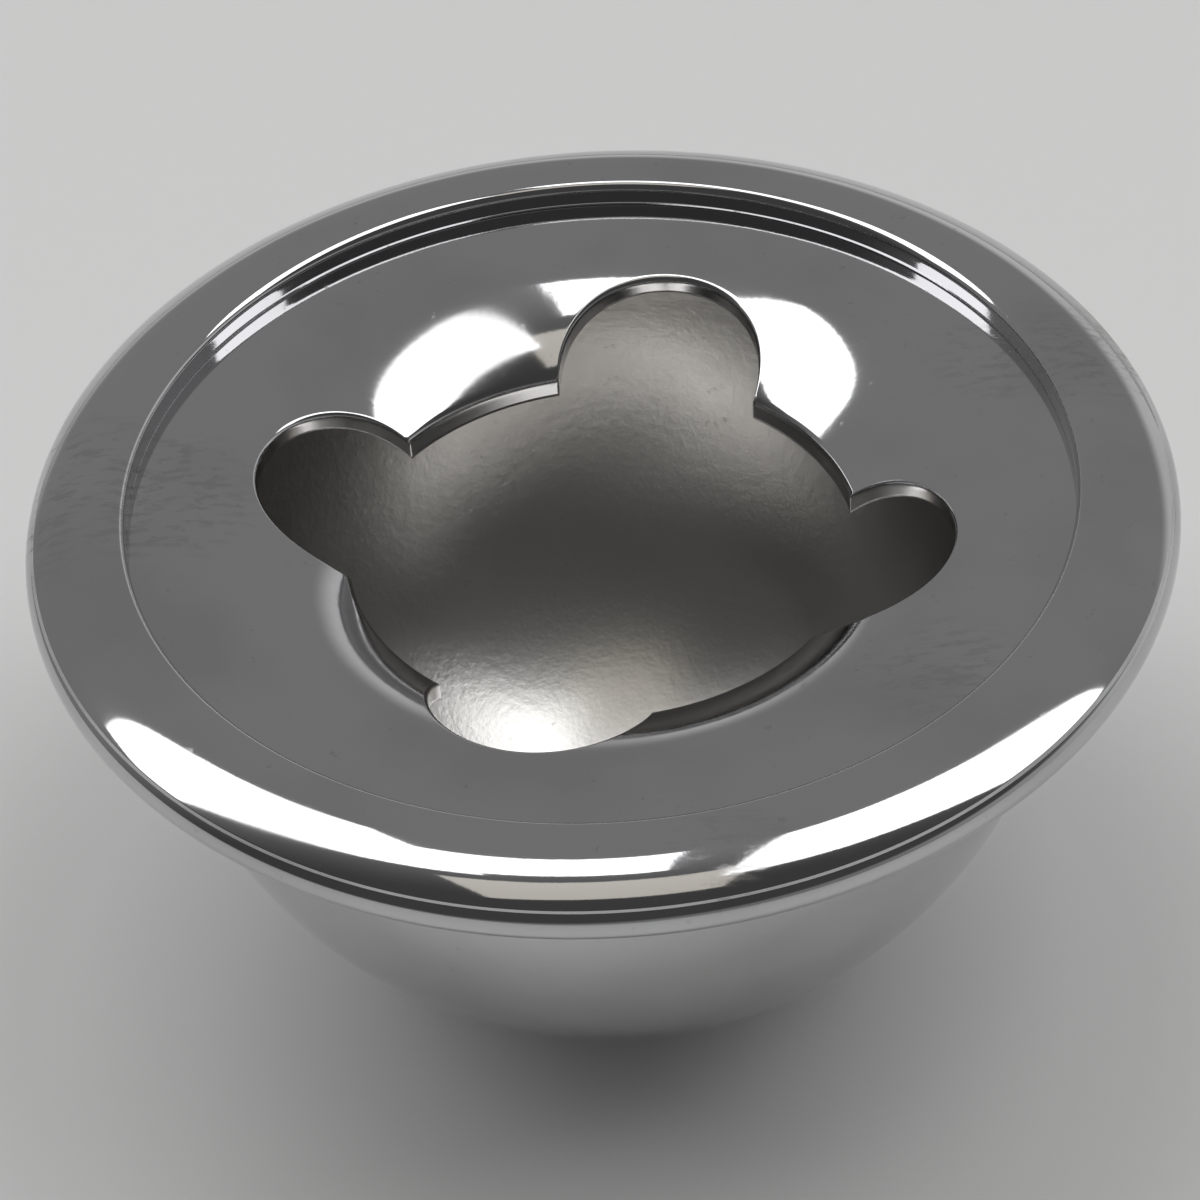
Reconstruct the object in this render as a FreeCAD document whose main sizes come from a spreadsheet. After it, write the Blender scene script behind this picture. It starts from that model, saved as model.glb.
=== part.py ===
import FreeCAD, Part
import math
import os
import Sketcher

# Capped push nut for a 12 mm shaft: a drawn sheet-metal dome whose flange is
# folded over a spring-steel retaining washer.  The open side faces +Z, the
# shaft enters along -Z, and the origin is the lowest point of the dome.
# Millimetres throughout.

V = FreeCAD.Vector
doc = FreeCAD.newDocument("capped_push_nut")

# ------------------------------------------------------------------ dimensions
sheet = doc.addObject("Spreadsheet::Sheet", "dims")
CELLS = [
    # cap: one drawn piece of 0.6 mm sheet
    ("cap_sheet", 0.6),          # sheet thickness
    ("dome_radius", 10.8),       # outer radius of the dome and of its straight neck
    ("neck_height", 1.3),        # straight wall between dome and flange radius
    ("neck_fillet", 0.4),        # outer radius where the neck turns into the flange
    ("rim_radius", 13.2),        # largest radius, at the nose of the folded edge
    ("nose_radius", 0.5),        # radius of that nose
    ("nose_drop", 0.9),          # from the lip's top face down to the nose
    ("flange_flat", 12.1),       # radius where the flat underside of the flange ends
    ("lip_flat", 11.55),         # radius where the flat top of the lip ends
    ("lip_radius", 10.85),        # inner edge of the folded lip
    ("lip_round", 0.25),         # rounding of the lip's upper inner corner
    ("fold_depth", 12.45),       # centre of the inside of the fold
    # retaining washer: one stamping of spring steel
    ("washer_sheet", 0.4),       # sheet thickness, also the gap in the fold
    ("washer_radius", 12.4),     # outer radius, inside the fold
    ("dish_start", 9.9),         # where the flat annulus starts to dish
    ("dish_radius", 6.2),        # radius to which dish and teeth are bent
    ("grip_radius", 5.9),        # circle of the tooth tips
    ("lobe_radius", 2.45),       # round lobes punched between the teeth
    ("lobe_centre", 5.75),       # radius on which the lobes are centred
    ("lobe_turn", 73.6),         # direction of the first lobe, degrees from +X
    ("lobe_count", 4),
]
for i, (name, value) in enumerate(CELLS):
    sheet.set("A%d" % (i + 1), name)
    sheet.set("B%d" % (i + 1), repr(value))
    sheet.setAlias("B%d" % (i + 1), name)
doc.recompute()
D = {name: float(sheet.get(name)) for name, _ in CELLS}


def plane_of(body, role):
    for item in body.Origin.OriginFeatures:
        if item.Role == role:
            return item
    raise RuntimeError("no origin feature " + role)


def new_sketch(body, name, role):
    sk = body.newObject("Sketcher::SketchObject", name)
    sk.AttachmentSupport = [(plane_of(body, role), "")]
    sk.MapMode = "FlatFace"
    doc.recompute()
    return sk


def arc(cx, cy, r, a0, a1):
    return Part.ArcOfCircle(
        Part.Circle(V(cx, cy, 0), V(0, 0, 1), r), math.radians(a0), math.radians(a1)
    )


def line(x0, y0, x1, y1):
    return Part.LineSegment(V(x0, y0, 0), V(x1, y1, 0))


def bind(sk, constraint, expression, label):
    i = sk.addConstraint(constraint)
    sk.renameConstraint(i, label)
    sk.setExpression("Constraints." + label, expression)
    return i


# ----------------------------------------------------------------------- cap
cap = doc.addObject("PartDesign::Body", "cap")
cap.Label = "cap"
sk = new_sketch(cap, "cap_section", "XZ_Plane")

s = D["cap_sheet"]
g = D["washer_sheet"]
rd = D["dome_radius"]
zc = rd
z_turn = zc + D["neck_height"]
z_under = z_turn + D["neck_fillet"]
z_floor = z_under + s
z_lipu = z_floor + g
z_top = z_lipu + s
z_nose = z_top - D["nose_drop"]
r2 = D["nose_radius"]


def shoulder(rise, run):
    # radius and end angle of an arc that leaves a flat face and is tangent to the nose
    r = (rise * rise - r2 * r2 + (run - r2) ** 2) / (2.0 * (rise - r2))
    return r, math.degrees(math.atan2(r - rise, run - r2))


ru, phi_u = shoulder(D["nose_drop"], D["rim_radius"] - D["lip_flat"])
rl, phi_l = shoulder(z_nose - z_under, D["rim_radius"] - D["flange_flat"])
neck_in = rd - s
xf = rd + D["neck_fillet"]

# section of the sheet, walked from the crown outwards, round the fold and back
geo = [
    arc(0, zc, rd, -90, 0),                                   # 0 outer dome
    line(rd, zc, rd, z_turn),                                 # 1 outer neck
    arc(xf, z_turn, D["neck_fillet"], 90, 180),               # 2 outer neck radius
    line(xf, z_under, D["flange_flat"], z_under),             # 3 flange underside
    arc(D["flange_flat"], z_under + rl, rl, -90, -phi_l),     # 4 lower shoulder
    arc(D["rim_radius"] - r2, z_nose, r2, -phi_l, phi_u),     # 5 nose
    arc(D["lip_flat"], z_top - ru, ru, phi_u, 90),            # 6 upper shoulder
    line(D["lip_flat"], z_top, D["lip_radius"] + D["lip_round"], z_top),  # 7 flat of the lip
    arc(D["lip_radius"] + D["lip_round"], z_top - D["lip_round"], D["lip_round"], 90, 180),  # 8
    line(D["lip_radius"], z_top - D["lip_round"], D["lip_radius"], z_lipu),  # 9 cut edge
    line(D["lip_radius"], z_lipu, D["fold_depth"], z_lipu),   # 10 lip underside
    arc(D["fold_depth"], z_floor + g / 2, g / 2, -90, 90),    # 11 inside of the fold
    line(D["fold_depth"], z_floor, xf, z_floor),              # 12 flange floor
    arc(xf, z_turn, D["neck_fillet"] + s, 90, 180),           # 13 inner neck radius
    line(neck_in, z_turn, neck_in, zc),                       # 14 inner neck
    arc(0, zc, rd - s, -90, 0),                               # 15 inner dome
    line(0, s, 0, 0),                                         # 16 on the axis
]
sk.addGeometry(geo, False)
C = Sketcher.Constraint
con = [
    C("Tangent", 0, 2, 1, 1), C("Tangent", 1, 2, 2, 2), C("Tangent", 2, 1, 3, 1),
    C("Tangent", 3, 2, 4, 1), C("Tangent", 4, 2, 5, 1), C("Tangent", 5, 2, 6, 1),
    C("Tangent", 6, 2, 7, 1), C("Tangent", 7, 2, 8, 1), C("Tangent", 8, 2, 9, 1),
    C("Coincident", 9, 2, 10, 1), C("Tangent", 10, 2, 11, 2), C("Tangent", 11, 1, 12, 1),
    C("Tangent", 12, 2, 13, 1), C("Tangent", 13, 2, 14, 1), C("Tangent", 14, 2, 15, 2),
    C("Coincident", 15, 1, 16, 1), C("Coincident", 16, 2, 0, 1),
    C("Horizontal", 3), C("Horizontal", 7), C("Horizontal", 10), C("Horizontal", 12),
    C("Vertical", 1), C("Vertical", 9), C("Vertical", 16),
    C("PointOnObject", 0, 3, -2), C("Coincident", 0, 3, 15, 3),
    C("Coincident", 16, 2, -1, 1),
    C("Coincident", 2, 3, 13, 3),
]
for c in con:
    sk.addConstraint(c)
bind(sk, C("Radius", 0, rd), "dims.dome_radius", "outer_dome")
bind(sk, C("Radius", 15, rd - s), "dims.dome_radius - dims.cap_sheet", "inner_dome")
bind(sk, C("DistanceY", 1, 1, 1, 2, D["neck_height"]), "dims.neck_height", "neck")
bind(sk, C("Radius", 2, D["neck_fillet"]), "dims.neck_fillet", "neck_round")
bind(sk, C("DistanceX", -1, 1, 3, 2, D["flange_flat"]), "dims.flange_flat", "flange_flat")
bind(sk, C("DistanceX", -1, 1, 7, 1, D["lip_flat"]), "dims.lip_flat", "lip_flat")
bind(sk, C("DistanceY", 3, 2, 7, 1, 2 * s + g), "2 * dims.cap_sheet + dims.washer_sheet", "fold_height")
bind(sk, C("Radius", 5, r2), "dims.nose_radius", "nose")
bind(sk, C("DistanceX", -1, 1, 5, 3, D["rim_radius"] - r2), "dims.rim_radius - dims.nose_radius", "rim")
bind(sk, C("DistanceY", 5, 3, 7, 1, D["nose_drop"]), "dims.nose_drop", "nose_drop")
bind(sk, C("Radius", 8, D["lip_round"]), "dims.lip_round", "lip_corner")
bind(sk, C("DistanceX", -1, 1, 9, 2, D["lip_radius"]), "dims.lip_radius", "lip_edge")
bind(sk, C("DistanceY", 10, 1, 7, 2, s), "dims.cap_sheet", "lip_thickness")
bind(sk, C("Radius", 11, g / 2), "dims.washer_sheet / 2", "fold_inside")
bind(sk, C("DistanceX", -1, 1, 11, 3, D["fold_depth"]), "dims.fold_depth", "fold_centre")
if sk.solve() != 0:
    raise RuntimeError("cap section is not solved")
rev = cap.newObject("PartDesign::Revolution", "cap_drawn")
rev.Profile = sk
rev.ReferenceAxis = (sk, ["V_Axis"])
rev.Angle = 360
cap.Tip = rev
doc.recompute()

# ------------------------------------------------------------ retaining washer
washer = doc.addObject("PartDesign::Body", "retaining_washer")
washer.Label = "retaining_washer"
sw = new_sketch(washer, "washer_section", "XZ_Plane")

zt = z_lipu                      # top face of the flat annulus
zb = z_floor                     # underside, on the flange floor
xa = D["dish_start"]
rt = D["dish_radius"]
bz = zt - rt                     # centre of the dish arc, below the sheet
rg = D["grip_radius"]
end_top = math.acos((rg - xa) / rt)            # angle where the top meets the tip
end_bot = math.acos((rg - xa) / (rt - g))      # angle where the underside meets it
geo = [
    line(D["washer_radius"], zt, xa, zt),                                    # 0 flat top
    arc(xa, bz, rt, 90, math.degrees(end_top)),                              # 1 dish and tooth top
    line(rg, bz + rt * math.sin(end_top), rg, bz + (rt - g) * math.sin(end_bot)),  # 2 tip
    arc(xa, bz, rt - g, 90, math.degrees(end_bot)),                          # 3 tooth underside
    line(xa, zb, D["washer_radius"], zb),                                    # 4 flat underside
    line(D["washer_radius"], zb, D["washer_radius"], zt),                    # 5 outer edge
]
sw.addGeometry(geo, False)
for c in [
    C("Tangent", 0, 2, 1, 1), C("Coincident", 1, 2, 2, 1), C("Coincident", 2, 2, 3, 2),
    C("Tangent", 3, 1, 4, 1), C("Coincident", 4, 2, 5, 1), C("Coincident", 5, 2, 0, 1),
    C("Horizontal", 0), C("Horizontal", 4), C("Vertical", 2), C("Vertical", 5),
    C("Coincident", 1, 3, 3, 3),
]:
    sw.addConstraint(c)
bind(sw, C("DistanceX", -1, 1, 0, 1, D["washer_radius"]), "dims.washer_radius", "outer_edge")
bind(sw, C("DistanceX", -1, 1, 0, 2, xa), "dims.dish_start", "dish_start")
bind(sw, C("DistanceY", -1, 1, 0, 1, zt),
     "dims.dome_radius + dims.neck_height + dims.neck_fillet + dims.cap_sheet + dims.washer_sheet", "seat")
bind(sw, C("DistanceY", 5, 1, 5, 2, g), "dims.washer_sheet", "washer_thickness")
bind(sw, C("Radius", 1, rt), "dims.dish_radius", "dish")
bind(sw, C("DistanceX", -1, 1, 2, 1, rg), "dims.grip_radius", "grip")
if sw.solve() != 0:
    raise RuntimeError("washer section is not solved")
disc = washer.newObject("PartDesign::Revolution", "washer_disc")
disc.Profile = sw
disc.ReferenceAxis = (sw, ["V_Axis"])
disc.Angle = 360
washer.Tip = disc
doc.recompute()
full = disc.Shape.Volume

# one round lobe, then four of them round the axis
sl = new_sketch(washer, "lobe_outline", "XY_Plane")
lt = math.radians(D["lobe_turn"])
lx, lz = D["lobe_centre"] * math.cos(lt), D["lobe_centre"] * math.sin(lt)
sl.addGeometry([Part.Circle(V(lx, lz, 0), V(0, 0, 1), D["lobe_radius"])], False)
bind(sl, C("Radius", 0, D["lobe_radius"]), "dims.lobe_radius", "lobe")
bind(sl, C("DistanceX", -1, 1, 0, 3, lx), "dims.lobe_centre * cos(dims.lobe_turn)", "lobe_x")
bind(sl, C("DistanceY", -1, 1, 0, 3, lz), "dims.lobe_centre * sin(dims.lobe_turn)", "lobe_y")
if sl.solve() != 0:
    raise RuntimeError("lobe outline is not solved")
cut = washer.newObject("PartDesign::Pocket", "lobe_cut")
cut.Profile = sl
cut.Type = "ThroughAll"
cut.Reversed = True
washer.Tip = cut
doc.recompute()
one = cut.Shape.Volume
if not one < full - 0.5:
    raise RuntimeError("the lobe removes nothing: %.3f of %.3f" % (one, full))
lobes = washer.newObject("PartDesign::PolarPattern", "lobes")
lobes.Originals = [cut]
lobes.Axis = (plane_of(washer, "Z_Axis"), [""])
lobes.Angle = 360
lobes.setExpression("Occurrences", "dims.lobe_count")
washer.Tip = lobes
doc.recompute()
lost = (full - lobes.Shape.Volume) / (full - one)
if abs(lost - D["lobe_count"]) > 0.01:
    raise RuntimeError("lobe pattern removed %.3f lobes" % lost)

# ----------------------------------------------------------- checks and output
parts = [cap, washer]
for body in parts:
    body.Placement = FreeCAD.Placement(V(0, 0, 0), FreeCAD.Rotation(0, 0, 0))
doc.recompute()
for obj in doc.Objects:
    if "Invalid" in obj.State or "Error" in obj.State:
        raise RuntimeError("failed object: " + obj.Label + " " + str(obj.State))
for body in parts:
    if body.Shape.isNull() or not body.Shape.isValid() or len(body.Shape.Solids) != 1:
        raise RuntimeError("bad shape: " + body.Label)
overlap = cap.Shape.common(washer.Shape).Volume
if overlap > 1e-4:
    raise RuntimeError("cap and washer overlap by %.5f mm3" % overlap)

os.makedirs("parts", exist_ok=True)
for body in parts:
    body.Shape.exportStep("parts/%s.step" % body.Label)
    box = body.Shape.optimalBoundingBox(False)
    print(body.Label, "volume %.2f" % body.Shape.Volume,
          "x %.2f..%.2f y %.2f..%.2f z %.2f..%.2f"
          % (box.XMin, box.XMax, box.YMin, box.YMax, box.ZMin, box.ZMax))
print("shoulders %.3f %.3f, top face z %.3f, tooth tip z %.3f..%.3f, sketches fixed %s %s %s" % (
    ru, rl, z_top, bz + (rt - g) * math.sin(end_bot), bz + rt * math.sin(end_top),
    sk.FullyConstrained, sw.FullyConstrained, sl.FullyConstrained))
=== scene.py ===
import bpy
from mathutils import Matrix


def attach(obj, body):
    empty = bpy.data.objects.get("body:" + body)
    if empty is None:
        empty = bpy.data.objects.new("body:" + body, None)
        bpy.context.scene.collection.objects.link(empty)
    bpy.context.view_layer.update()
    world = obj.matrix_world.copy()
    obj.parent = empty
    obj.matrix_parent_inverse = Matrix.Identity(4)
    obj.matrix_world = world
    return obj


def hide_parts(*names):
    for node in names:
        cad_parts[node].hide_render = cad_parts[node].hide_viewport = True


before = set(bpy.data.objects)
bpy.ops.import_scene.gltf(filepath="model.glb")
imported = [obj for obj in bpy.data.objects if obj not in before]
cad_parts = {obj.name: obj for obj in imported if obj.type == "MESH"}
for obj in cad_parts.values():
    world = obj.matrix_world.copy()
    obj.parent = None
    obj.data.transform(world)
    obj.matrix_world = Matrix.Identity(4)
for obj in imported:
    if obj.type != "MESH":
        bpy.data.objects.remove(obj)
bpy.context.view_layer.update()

import bpy
import math
import numpy as np
from mathutils import Matrix, Vector

MM = 0.001

# ----------------------------------------------------------------------------
# geometry: every size is the CAD part's, in millimetres, z = 0 at the dome's crown
# ----------------------------------------------------------------------------
SHEET = 0.6
DOME_R = 10.8
NECK_H = 1.3
NECK_F = 0.4
RIM_R = 13.2
NOSE_R = 0.5
NOSE_DROP = 0.9
FLANGE_FLAT = 12.1
LIP_FLAT = 11.55
LIP_R = 10.85
LIP_ROUND = 0.25
FOLD_D = 12.45
W_SHEET = 0.4
W_R = 12.4
DISH_START = 9.9
DISH_R = 6.2
GRIP_R = 5.9
LOBE_R = 2.45
LOBE_C = 5.75
LOBE_TURN = math.radians(73.6)

Z_TURN = DOME_R + NECK_H
Z_UNDER = Z_TURN + NECK_F
Z_FLOOR = Z_UNDER + SHEET
Z_LIPU = Z_FLOOR + W_SHEET
Z_TOP = Z_LIPU + SHEET
Z_NOSE = Z_TOP - NOSE_DROP


def arc_pts(cx, cz, r, a0, a1, n):
    return [(cx + r * math.cos(a0 + (a1 - a0) * i / n), cz + r * math.sin(a0 + (a1 - a0) * i / n))
            for i in range(n + 1)]


def join(*chains):
    out = []
    for c in chains:
        for p in c:
            if not out or math.hypot(p[0] - out[-1][0], p[1] - out[-1][1]) > 1e-5:
                out.append(p)
    return out


def line_pts(p, q, n):
    return [(p[0] + (q[0] - p[0]) * i / n, p[1] + (q[1] - p[1]) * i / n) for i in range(n + 1)]


def mesh_object(name, verts, faces, slots, face_slots=None, smooth=True, sharp=None):
    me = bpy.data.meshes.new(name)
    me.from_pydata([tuple(c * MM for c in v) for v in verts], [], faces)
    for m in slots:
        me.materials.append(m)
    if face_slots is not None:
        me.polygons.foreach_set("material_index", face_slots)
    me.polygons.foreach_set("use_smooth", [smooth] * len(me.polygons))
    me.update()
    ob = bpy.data.objects.new(name, me)
    bpy.context.scene.collection.objects.link(ob)
    return ob


# ---- cap: the section of the drawn sheet, turned about the axis
def shoulder(rise, run):
    r = (rise * rise - NOSE_R ** 2 + (run - NOSE_R) ** 2) / (2.0 * (rise - NOSE_R))
    return r, math.atan2(r - rise, run - NOSE_R)


def cap_profile():
    ru, pu = shoulder(NOSE_DROP, RIM_R - LIP_FLAT)
    rl, pl = shoulder(Z_NOSE - Z_UNDER, RIM_R - FLANGE_FLAT)
    xf = DOME_R + NECK_F
    h = math.pi / 2
    outside = join(
        arc_pts(0, DOME_R, DOME_R, -h, 0, 96),
        line_pts((DOME_R, DOME_R), (DOME_R, Z_TURN), 8),
        arc_pts(xf, Z_TURN, NECK_F, 2 * h, h, 12),
        line_pts((xf, Z_UNDER), (FLANGE_FLAT, Z_UNDER), 6),
        arc_pts(FLANGE_FLAT, Z_UNDER + rl, rl, -h, -pl, 16),
        arc_pts(RIM_R - 0.001 - NOSE_R, Z_NOSE, NOSE_R, -pl, pu, 32),
        arc_pts(LIP_FLAT, Z_TOP - ru, ru, pu, h, 24),
        line_pts((LIP_FLAT, Z_TOP), (LIP_R + LIP_ROUND, Z_TOP), 4),
        arc_pts(LIP_R + LIP_ROUND, Z_TOP - LIP_ROUND, LIP_ROUND, h, 2 * h, 14),
        line_pts((LIP_R, Z_TOP - LIP_ROUND), (LIP_R, Z_LIPU), 4),
    )
    fold = join(
        outside[-1:],
        line_pts((LIP_R, Z_LIPU), (FOLD_D, Z_LIPU), 4),
        arc_pts(FOLD_D, Z_FLOOR + W_SHEET / 2, W_SHEET / 2, h, -h, 10),
        line_pts((FOLD_D, Z_FLOOR), (xf, Z_FLOOR), 4),
    )
    inside = join(
        fold[-1:],
        arc_pts(xf, Z_TURN, NECK_F + SHEET, h, 2 * h, 14),
        line_pts((DOME_R - SHEET, Z_TURN), (DOME_R - SHEET, DOME_R), 8),
        arc_pts(0, DOME_R, DOME_R - SHEET, 0, -h, 96),
    )
    prof = outside + fold[1:] + inside[1:]
    return prof, len(outside) + len(fold) - 2


def turned(name, prof, n, slots, first_inside):
    """A closed section turned about Z; faces from section step first_inside on take slot 1."""
    verts, faces, kinds, rings = [], [], [], []
    for (x, z) in prof:
        if abs(x) < 1e-6:
            rings.append([len(verts)] * n)
            verts.append((0.0, 0.0, z))
        else:
            rings.append([len(verts) + k for k in range(n)])
            verts += [(x * math.cos(2 * math.pi * k / n), x * math.sin(2 * math.pi * k / n), z) for k in range(n)]
    for i in range(len(prof) - 1):
        a, b = rings[i], rings[i + 1]
        flag = 1 if i >= first_inside else 0
        for k in range(n):
            j = (k + 1) % n
            if a[0] == a[1]:
                faces.append((a[0], b[j], b[k]))
            elif b[0] == b[1]:
                faces.append((a[k], a[j], b[0]))
            else:
                faces.append((a[k], a[j], b[j], b[k]))
            kinds.append(flag)
    return mesh_object(name, verts, faces, slots, kinds)


# ---- washer: a dished ring whose inner edge follows the tooth circle and the four lobes
def dish_z(r):
    if r >= DISH_START:
        return Z_LIPU
    return Z_LIPU - DISH_R + math.sqrt(DISH_R ** 2 - (DISH_START - r) ** 2)


def dish_under(r):
    rb = DISH_R - W_SHEET
    d = DISH_START - r
    if d <= 0:
        return Z_FLOOR
    return Z_LIPU - DISH_R + math.sqrt(max(rb ** 2 - d * d, 0.0))


CORNER = math.acos((GRIP_R ** 2 + LOBE_C ** 2 - LOBE_R ** 2) / (2 * GRIP_R * LOBE_C))


def inner_radius(phi):
    d = (phi - LOBE_TURN + math.pi / 4) % (math.pi / 2) - math.pi / 4
    if abs(d) < CORNER:
        return LOBE_C * math.cos(d) + math.sqrt(LOBE_R ** 2 - (LOBE_C * math.sin(d)) ** 2)
    return GRIP_R


def washer_mesh(name, slots):
    # directions: even steps inside each lobe and each tooth, meeting exactly at the corners
    angles = []
    for q in range(4):
        c0 = LOBE_TURN + q * math.pi / 2
        n1, n2 = 72, 64
        for i in range(n1):
            t = math.sin(math.pi * (i / n1 - 0.5))
            angles.append(c0 + CORNER * t)
        for i in range(n2):
            angles.append(c0 + CORNER + (math.pi / 2 - 2 * CORNER) * i / n2)
    roll = 0.13          # die roll along the punched edge, top side
    small = 0.02
    rows = []
    n_flat, n_dish = 14, 56
    for phi in angles:
        ri = inner_radius(phi)
        col = []
        # underside, from the outer edge to the hole
        for i in range(5):
            r = W_R - small - (W_R - small - DISH_START) * i / 5
            col.append((r, Z_FLOOR))
        nb = 24
        for i in range(nb + 1):
            r = DISH_START + (ri - DISH_START) * i / nb
            col.append((r, dish_under(r)))
        zb, zt = dish_under(ri), dish_z(ri)
        for i in range(1, 5):
            col.append((ri, zb + (zt - roll - zb) * i / 5))
        # rounded top edge
        for i in range(11):
            a = (math.pi / 2) * i / 10
            r = ri + roll * (1 - math.cos(a))
            col.append((r, dish_z(r) - roll * (1 - math.sin(a))))
        r0 = ri + roll
        for i in range(1, n_dish + 1):
            r = r0 + (DISH_START - r0) * i / n_dish
            col.append((r, dish_z(r)))
        for i in range(1, n_flat + 1):
            r = DISH_START + (W_R - small - DISH_START) * i / n_flat
            col.append((r, Z_LIPU))
        col.append((W_R, Z_LIPU - small))
        col.append((W_R, Z_FLOOR + small))
        rows.append(col)
    m = len(rows[0])
    n = len(rows)
    verts = []
    for phi, col in zip(angles, rows):
        c, s_ = math.cos(phi), math.sin(phi)
        verts += [(r * c, r * s_, z) for (r, z) in col]
    faces = []
    for k in range(n):
        j = (k + 1) % n
        for i in range(m):
            i2 = (i + 1) % m
            faces.append((k * m + i, k * m + i2, j * m + i2, j * m + i))
    return mesh_object(name, verts, faces, slots)


# ----------------------------------------------------------------------------
# materials
# ----------------------------------------------------------------------------
def base_material(name, color, rough, metallic=1.0):
    m = bpy.data.materials.new(name)
    m.use_nodes = True
    nt = m.node_tree
    b = nt.nodes["Principled BSDF"]
    b.inputs["Base Color"].default_value = (*color, 1)
    b.inputs["Metallic"].default_value = metallic
    b.inputs["Roughness"].default_value = rough
    return m, nt, b



def node(nt, kind, **values):
    n = nt.nodes.new(kind)
    for k, v in values.items():
        setattr(n, k, v)
    return n


def noise(nt, coords, scale, detail=4.0, rough=0.5, stretch=None):
    """A noise field over the piece's own coordinates; scale is in cycles per metre."""
    src = coords
    if stretch:
        mp = node(nt, "ShaderNodeMapping")
        mp.inputs["Scale"].default_value = stretch
        nt.links.new(coords, mp.inputs["Vector"])
        src = mp.outputs["Vector"]
    n = node(nt, "ShaderNodeTexNoise")
    n.inputs["Scale"].default_value = scale
    n.inputs["Detail"].default_value = detail
    n.inputs["Roughness"].default_value = rough
    nt.links.new(src, n.inputs["Vector"])
    return n.outputs["Fac"]


def span(nt, value, a, b, lo, hi):
    m = node(nt, "ShaderNodeMapRange")
    m.interpolation_type = "SMOOTHSTEP"
    for k, v in (("From Min", a), ("From Max", b), ("To Min", lo), ("To Max", hi)):
        m.inputs[k].default_value = v
    nt.links.new(value, m.inputs["Value"])
    return m.outputs["Result"]


def math2(nt, op, a, b):
    m = node(nt, "ShaderNodeMath", operation=op)
    for s, v in ((0, a), (1, b)):
        if isinstance(v, (int, float)):
            m.inputs[s].default_value = v
        else:
            nt.links.new(v, m.inputs[s])
    return m.outputs[0]


def spot(nt, coords, centre_mm, reach_mm):
    """1 at a place on the piece, falling to 0 at reach_mm from it."""
    d = node(nt, "ShaderNodeVectorMath", operation="DISTANCE")
    nt.links.new(coords, d.inputs[0])
    d.inputs[1].default_value = tuple(c * MM for c in centre_mm)
    return span(nt, d.outputs["Value"], reach_mm * MM * 0.25, reach_mm * MM, 1.0, 0.0)


def metal(name, clean, worn, rough, rough_worn, wave, wave_scale, grain, grain_scale, scuffs=()):
    m, nt, b = base_material(name, clean, rough)
    tc = node(nt, "ShaderNodeTexCoord").outputs["Object"]
    film = span(nt, noise(nt, tc, 160.0, 3.0), 0.42, 0.68, 0.0, 1.0)
    specks = span(nt, noise(nt, tc, 2600.0, 3.0, 0.6), 0.66, 0.74, 0.0, 1.0)
    marks = math2(nt, "MULTIPLY", specks, 0.35)
    for centre, reach, strength in scuffs:
        near = spot(nt, tc, centre, reach)
        streak = span(nt, noise(nt, tc, 1500.0, 4.0, 0.65, (1.0, 3.0, 1.0)), 0.48, 0.64, 0.0, strength)
        marks = math2(nt, "ADD", marks, math2(nt, "MULTIPLY", near, streak))
    wear = math2(nt, "MINIMUM", math2(nt, "ADD", math2(nt, "MULTIPLY", film, 0.30), marks), 1.0)
    mix = node(nt, "ShaderNodeMix", data_type="RGBA")
    nt.links.new(wear, mix.inputs["Factor"])
    mix.inputs["A"].default_value = (*clean, 1)
    mix.inputs["B"].default_value = (*worn, 1)
    nt.links.new(mix.outputs["Result"], b.inputs["Base Color"])
    nt.links.new(span(nt, wear, 0.0, 1.0, rough, rough_worn), b.inputs["Roughness"])
    soft = node(nt, "ShaderNodeBump")
    soft.inputs["Strength"].default_value = 1.0
    soft.inputs["Distance"].default_value = wave * MM
    nt.links.new(noise(nt, tc, wave_scale, 1.0), soft.inputs["Height"])
    fine = node(nt, "ShaderNodeBump")
    fine.inputs["Strength"].default_value = 1.0
    fine.inputs["Distance"].default_value = grain * MM
    nt.links.new(noise(nt, tc, grain_scale, 3.0, 0.6), fine.inputs["Height"])
    nt.links.new(soft.outputs["Normal"], fine.inputs["Normal"])
    nt.links.new(fine.outputs["Normal"], b.inputs["Normal"])
    return m


# bright plating with faint waviness, specks and handling scuffs; satin plating inside the dome
chrome = metal("chrome_bright", (0.56, 0.56, 0.57), (0.36, 0.35, 0.34), 0.05, 0.30,
               0.016, 230.0, 0.0006, 2400.0,
               (((-12.2, 0.6, 13.9), 3.4, 0.5), ((11.9, 3.2, 13.9), 2.6, 0.45), ((2.0, -12.0, 13.9), 1.8, 0.3)))
satin = metal("chrome_satin", (0.68, 0.67, 0.65), (0.52, 0.50, 0.47), 0.28, 0.44,
              0.012, 260.0, 0.007, 4200.0, (((1.5, -1.0, 0.8), 4.0, 0.4),))
wchrome = metal("washer_bright", (0.56, 0.56, 0.57), (0.33, 0.32, 0.31), 0.06, 0.34,
                0.018, 260.0, 0.0008, 2600.0,
                (((-10.3, 0.8, 13.5), 3.0, 0.6), ((9.6, 3.6, 13.5), 2.2, 0.3), ((7.2, -6.6, 13.5), 2.2, 0.35)))

# ----------------------------------------------------------------------------
# pieces
# ----------------------------------------------------------------------------
prof, first_inside = cap_profile()
cap = turned("cap_shell", prof, 320, [chrome, satin], first_inside)
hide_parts("cap")
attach(cap, "root")

washer = washer_mesh("washer_sheet", [wchrome])
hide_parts("retaining_washer")
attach(washer, "root")

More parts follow.
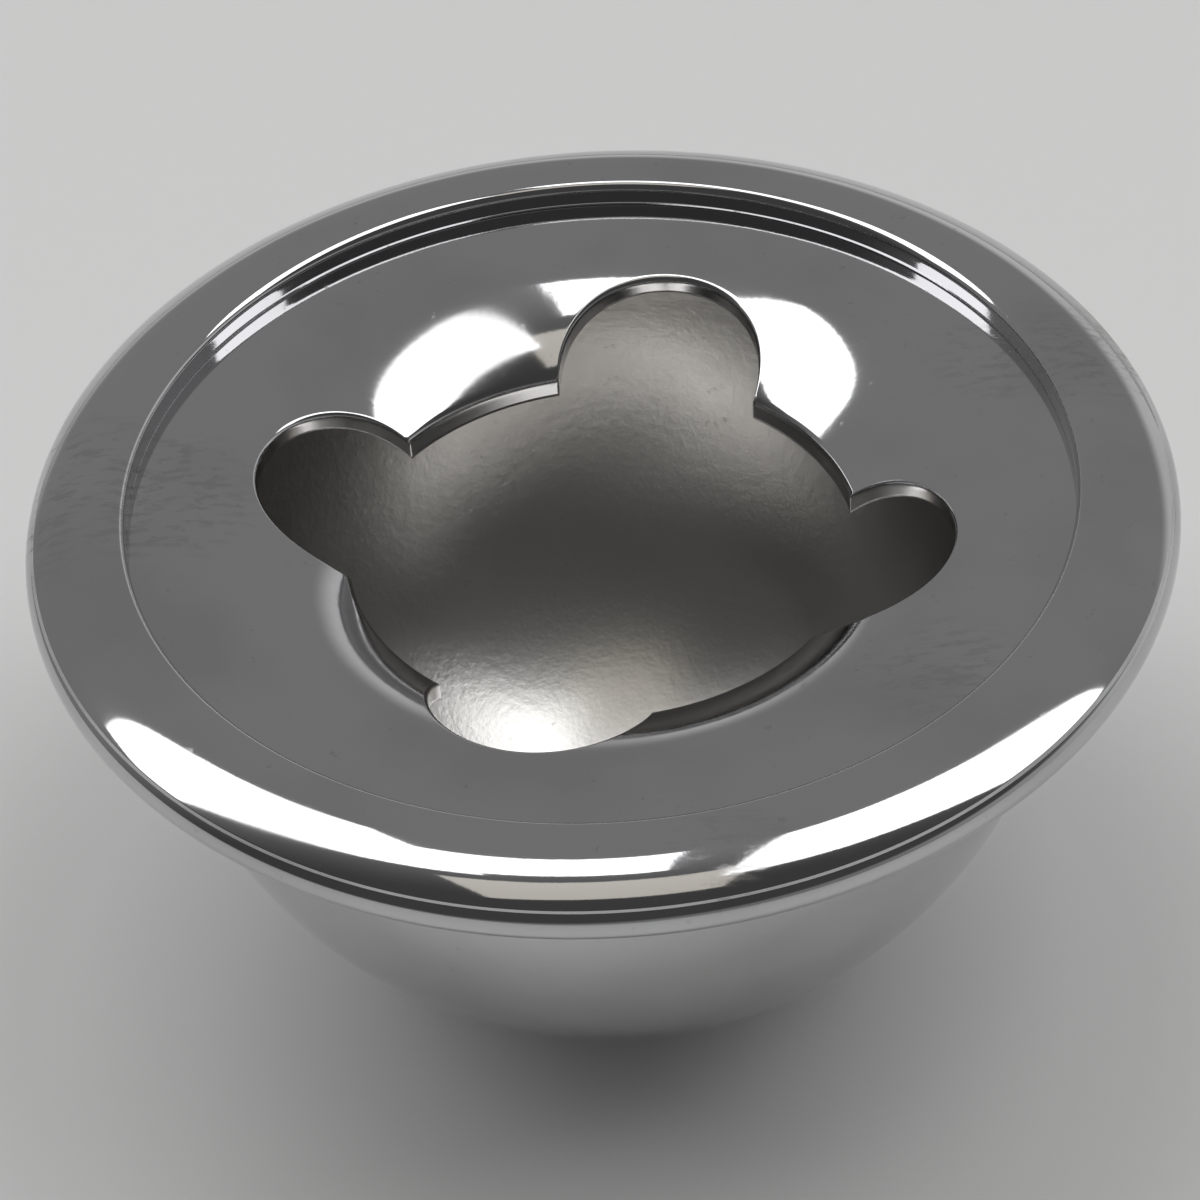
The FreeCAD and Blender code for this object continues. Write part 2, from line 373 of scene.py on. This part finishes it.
# ----------------------------------------------------------------------------
# stage, light, camera
# ----------------------------------------------------------------------------
floor_me = bpy.data.meshes.new("floor")
S = 3.0
floor_me.from_pydata([(-S, -S, 0), (S, -S, 0), (S, S, 0), (-S, S, 0)], [], [(0, 1, 2, 3)])
floor = bpy.data.objects.new("floor", floor_me)
bpy.context.scene.collection.objects.link(floor)
fm, nt, b = base_material("floor_white", (0.85, 0.85, 0.85), 0.6, 0.0)
floor_me.materials.append(fm)

R = RIM_R * MM
E, ROLL, DIST, FD, TX, TY = math.radians(41.5), math.radians(4.0), 6.0, 574.0, 0.0, -101.0
f_px = FD * DIST
fwd0 = Vector((0, math.cos(E), -math.sin(E)))
right0 = Vector((1, 0, 0))
up0 = Vector((0, math.sin(E), math.cos(E)))
xc = math.cos(ROLL) * right0 - math.sin(ROLL) * up0
yc = math.sin(ROLL) * right0 + math.cos(ROLL) * up0
pos = Vector((0, 0, Z_NOSE * MM)) - fwd0 * DIST * R
beta = math.atan2(-TY, f_px)
fwd1 = math.cos(beta) * fwd0 - math.sin(beta) * yc
yc1 = math.cos(beta) * yc + math.sin(beta) * fwd0
cam_data = bpy.data.cameras.new("camera")
cam_data.sensor_width = 36.0
cam_data.lens = f_px * 36.0 / 1200.0
cam_data.clip_start = 0.001
cam_data.clip_end = 20.0
cam = bpy.data.objects.new("camera", cam_data)
m = Matrix.Identity(4)
for i in range(3):
    m[i][0], m[i][1], m[i][2], m[i][3] = xc[i], yc1[i], -fwd1[i], pos[i]
cam.matrix_world = m
bpy.context.scene.collection.objects.link(cam)
bpy.context.scene.camera = cam

# ---- light: an overhead soft box in two halves, behind and above; dim room in front
def card(name, corners_xy, height, radiance, color=(1, 1, 1)):
    """A rectangular lamp facing down, given by its low and high corner, in metres."""
    (x0, y0), (x1, y1) = corners_xy
    w, d = x1 - x0, y1 - y0
    L = bpy.data.lights.new(name, "AREA")
    L.shape = "RECTANGLE"
    L.size, L.size_y = w, d
    L.color = color
    L.energy = radiance * math.pi * w * d
    ob = bpy.data.objects.new(name, L)
    ob.location = ((x0 + x1) / 2, (y0 + y1) / 2, height)
    bpy.context.scene.collection.objects.link(ob)
    return ob


H = 0.6
SOFT = 2.4
card("soft_left", ((-1.00, 0.00), (-0.12, 0.33)), H, SOFT)
card("soft_left_edge", ((-0.12, 0.02), (0.03, 0.22)), H, SOFT)
card("soft_right", ((0.10, -0.12), (1.00, 0.19)), H, SOFT)
card("warm_front", ((-0.18, -0.24), (0.12, -0.05)), H, 0.7, (1.0, 0.94, 0.84))

world = bpy.data.worlds.new("studio")
bpy.context.scene.world = world
world.use_nodes = True
wt = world.node_tree
bg = wt.nodes["Background"]
tc = wt.nodes.new("ShaderNodeTexCoord")
sep = wt.nodes.new("ShaderNodeSeparateXYZ")
wt.links.new(tc.outputs["Generated"], sep.inputs[0])
room = span(wt, sep.outputs["Y"], -0.35, 0.35, 0.07, 0.27)       # dim in front, grey behind
tilt = math2(wt, "SUBTRACT", sep.outputs["Z"], math2(wt, "MULTIPLY", sep.outputs["X"], 0.18))
low = span(wt, tilt, 0.04, 0.20, 1.0, 0.0)                       # pale backdrop, higher on the right
back = span(wt, sep.outputs["Y"], -0.80, -0.10, 0.45, 1.0)
band = math2(wt, "MULTIPLY", math2(wt, "MULTIPLY", low, back), 0.38)
sky = math2(wt, "ADD", room, band)
lp = wt.nodes.new("ShaderNodeLightPath")
mix = wt.nodes.new("ShaderNodeMix")
mix.data_type = "FLOAT"
mix.inputs["B"].default_value = 0.75
wt.links.new(lp.outputs["Is Camera Ray"], mix.inputs["Factor"])
wt.links.new(sky, mix.inputs["A"])
wt.links.new(mix.outputs["Result"], bg.inputs["Strength"])
bg.inputs["Color"].default_value = (1, 1, 1, 1)
bpy.context.scene.view_settings.view_transform = "Standard"
